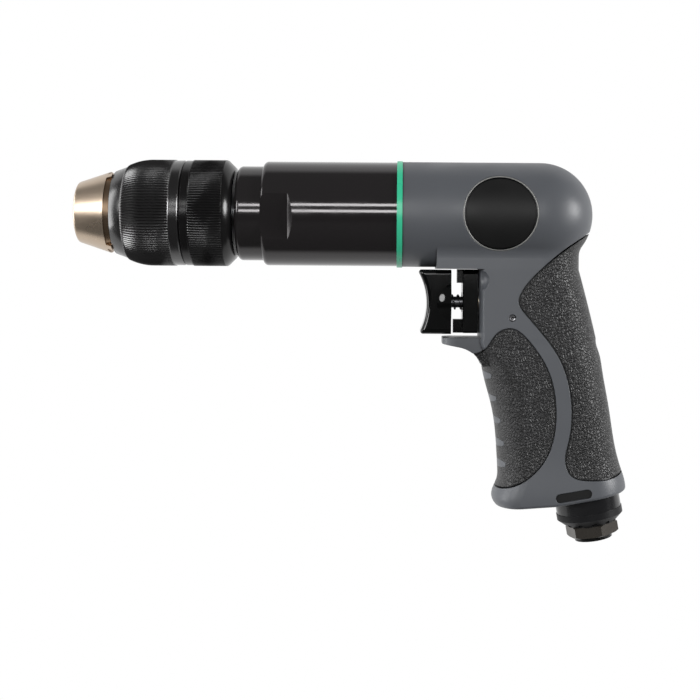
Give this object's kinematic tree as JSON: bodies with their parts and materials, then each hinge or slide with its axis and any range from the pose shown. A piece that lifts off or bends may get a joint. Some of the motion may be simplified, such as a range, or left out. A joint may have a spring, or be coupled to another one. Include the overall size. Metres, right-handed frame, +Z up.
{
  "type": "reversible air drill",
  "caption": "Pistol-grip pneumatic drill with a keyless chuck, planetary gearbox, vane air motor, sprung trigger and reversing lever.",
  "frame": {"origin": "on the drilling axis at the nose face of the chuck", "axes": "+X runs back along the tool from the chuck to the handle, +Z is up, away from the grip, and -Y is the side seen in the picture"},
  "size_m": [0.2246, 0.0436, 0.1551],
  "materials": {
    "chuck_nose": "brushed, warm tint",
    "chuck_black": "satin black",
    "barrel_black": "gloss black",
    "steel": "machined",
    "bearing_steel": "polished",
    "spring_steel": "dark wire",
    "aluminium": "machined",
    "brass": "machined",
    "accent": "satin teal green",
    "housing_grey": "fine moulded grain",
    "grip_rubber": "leather grain",
    "seal_rubber": "smooth",
    "badge_dark": "smooth, bare",
    "trigger_black": "gloss black",
    "lever_black": "satin black",
    "vane_resin": "smooth resin",
    "muffler_felt": "felt",
    "inlet_metal": "dark plated"
  },
  "bodies": {
    "handle": {"housing": "housing_grey", "front_grip": "grip_rubber", "rear_grip": "grip_rubber", "badges": "badge_dark", "retaining_pin": "steel", "gear_case": "barrel_black", "front_cap": "barrel_black", "spindle_seal": "seal_rubber", "ring_gear": "steel", "gear_spacer": "aluminium", "accent_ring": "accent", "spindle_bearing_outer": "bearing_steel", "front_end_plate": "steel", "rear_end_plate": "steel", "motor_cylinder": "steel", "motor_dowel": "steel", "motor_gasket": "seal_rubber", "rotor_bearing_outers": "bearing_steel", "valve_bushing": "brass", "bushing_o_rings": "seal_rubber", "inlet_bushing": "inlet_metal", "inlet_screen": "steel", "exhaust_collar": "lever_black", "exhaust_ring": "lever_black", "muffler": "muffler_felt", "trigger_spring": "spring_steel", "throttle_spring": "spring_steel"},
    "spindle": {"chuck_body": "chuck_nose", "chuck_thrust_race": "bearing_steel", "chuck_rear_ring": "chuck_black", "chuck_screw": "steel", "spindle": "steel", "output_planet_pins": "steel", "spindle_snap_ring": "spring_steel", "spindle_bearing_inner": "bearing_steel"},
    "sleeve": {"chuck_sleeve": "chuck_black", "chuck_nut": "steel", "chuck_thrust_balls": "bearing_steel"},
    "carrier": {"planet_carrier": "steel", "input_planet_pins": "steel"},
    "rotor": {"rotor": "steel", "vanes": "vane_resin", "rotor_bearing_inners": "bearing_steel"},
    "spindle_balls": {"spindle_bearing_balls": "bearing_steel"},
    "rotor_balls": {"rotor_bearing_balls": "bearing_steel"},
    "trigger": {"trigger": "trigger_black", "trigger_stem": "spring_steel"},
    "throttle": {"throttle_valve": "brass"},
    "reverser": {"reverse_lever": "lever_black", "reverse_valve": "brass"},
    "jaw_1": {"chuck_jaw_1": "steel"},
    "output_planet_1": {"output_planet_1": "steel"},
    "input_planet_1": {"input_planet_1": "steel"},
    "jaw_2": {"chuck_jaw_2": "steel"},
    "output_planet_2": {"output_planet_2": "steel"},
    "input_planet_2": {"input_planet_2": "steel"},
    "jaw_3": {"chuck_jaw_3": "steel"},
    "output_planet_3": {"output_planet_3": "steel"},
    "input_planet_3": {"input_planet_3": "steel"}
  },
  "joints": [
    {"name": "spindle_spin", "type": "hinge", "parent": "handle", "child": "spindle", "pos_m": [0, 0, 0], "axis": [1, 0, 0], "continuous": true},
    {"name": "carrier_spin", "type": "hinge", "parent": "handle", "child": "carrier", "pos_m": [0, 0, 0], "axis": [1, 0, 0], "continuous": true},
    {"name": "rotor_spin", "type": "hinge", "parent": "handle", "child": "rotor", "pos_m": [0, 0, 0], "axis": [1, 0, 0], "continuous": true},
    {"name": "spindle_balls_spin", "type": "hinge", "parent": "handle", "child": "spindle_balls", "pos_m": [0, 0, 0], "axis": [1, 0, 0], "continuous": true},
    {"name": "rotor_balls_spin", "type": "hinge", "parent": "handle", "child": "rotor_balls", "pos_m": [0, 0, 0], "axis": [1, 0, 0], "continuous": true},
    {"name": "sleeve_turn", "type": "hinge", "parent": "spindle", "child": "sleeve", "pos_m": [0, 0, 0], "axis": [1, 0, 0], "range_deg": [0, 1486]},
    {"name": "jaw_1_slide", "type": "slide", "parent": "spindle", "child": "jaw_1", "axis": [-0.9588, -0.0371, 0.2816], "range_m": [0, 0.02148]},
    {"name": "output_planet_1_spin", "type": "hinge", "parent": "spindle", "child": "output_planet_1", "pos_m": [0.1054, 0.0099, 0], "axis": [1, 0, 0], "continuous": true},
    {"name": "input_planet_1_spin", "type": "hinge", "parent": "carrier", "child": "input_planet_1", "pos_m": [0.1194, 0.0099, 0], "axis": [1, 0, 0], "continuous": true},
    {"name": "jaw_2_slide", "type": "slide", "parent": "spindle", "child": "jaw_2", "axis": [-0.9588, 0.2624, -0.1087], "range_m": [0, 0.02148]},
    {"name": "output_planet_2_spin", "type": "hinge", "parent": "spindle", "child": "output_planet_2", "pos_m": [0.1054, -0.00495, 0.00857], "axis": [1, 0, 0], "continuous": true},
    {"name": "input_planet_2_spin", "type": "hinge", "parent": "carrier", "child": "input_planet_2", "pos_m": [0.1194, -0.00495, 0.00857], "axis": [1, 0, 0], "continuous": true},
    {"name": "jaw_3_slide", "type": "slide", "parent": "spindle", "child": "jaw_3", "axis": [-0.9588, -0.2253, -0.1729], "range_m": [0, 0.02148]},
    {"name": "output_planet_3_spin", "type": "hinge", "parent": "spindle", "child": "output_planet_3", "pos_m": [0.1054, -0.00495, -0.00857], "axis": [1, 0, 0], "continuous": true},
    {"name": "input_planet_3_spin", "type": "hinge", "parent": "carrier", "child": "input_planet_3", "pos_m": [0.1194, -0.00495, -0.00857], "axis": [1, 0, 0], "continuous": true},
    {"name": "trigger_pull", "type": "slide", "parent": "handle", "child": "trigger", "axis": [1, 0, 0], "range_m": [0, 0.0042], "stiffness_N_per_m": 900, "springref_m": -0.004, "deforming": ["trigger_spring"]},
    {"name": "throttle_slide", "type": "slide", "parent": "handle", "child": "throttle", "axis": [1, 0, 0], "range_m": [0, 0.0042], "deforming": ["throttle_spring"]},
    {"name": "reverse_turn", "type": "hinge", "parent": "handle", "child": "reverser", "pos_m": [0.1888, 0, -0.0358], "axis": [1, 0, 0], "range_deg": [-20, 20]}
  ],
  "couplings": [
    {"joint": "carrier_spin", "follows": "spindle_spin", "ratio": 4.4},
    {"joint": "rotor_spin", "follows": "spindle_spin", "ratio": 19.36},
    {"joint": "spindle_balls_spin", "follows": "spindle_spin", "ratio": 0.39231},
    {"joint": "rotor_balls_spin", "follows": "spindle_spin", "ratio": 7.4536},
    {"joint": "jaw_1_slide", "follows": "sleeve_turn", "m_per_rad": 0.00082761},
    {"joint": "output_planet_1_spin", "follows": "spindle_spin", "ratio": -2.8333},
    {"joint": "input_planet_1_spin", "follows": "spindle_spin", "ratio": -12.467},
    {"joint": "jaw_2_slide", "follows": "sleeve_turn", "m_per_rad": 0.00082761},
    {"joint": "output_planet_2_spin", "follows": "spindle_spin", "ratio": -2.8333},
    {"joint": "input_planet_2_spin", "follows": "spindle_spin", "ratio": -12.467},
    {"joint": "jaw_3_slide", "follows": "sleeve_turn", "m_per_rad": 0.00082761},
    {"joint": "output_planet_3_spin", "follows": "spindle_spin", "ratio": -2.8333},
    {"joint": "input_planet_3_spin", "follows": "spindle_spin", "ratio": -12.467},
    {"joint": "throttle_slide", "follows": "trigger_pull", "ratio": 1}
  ]
}
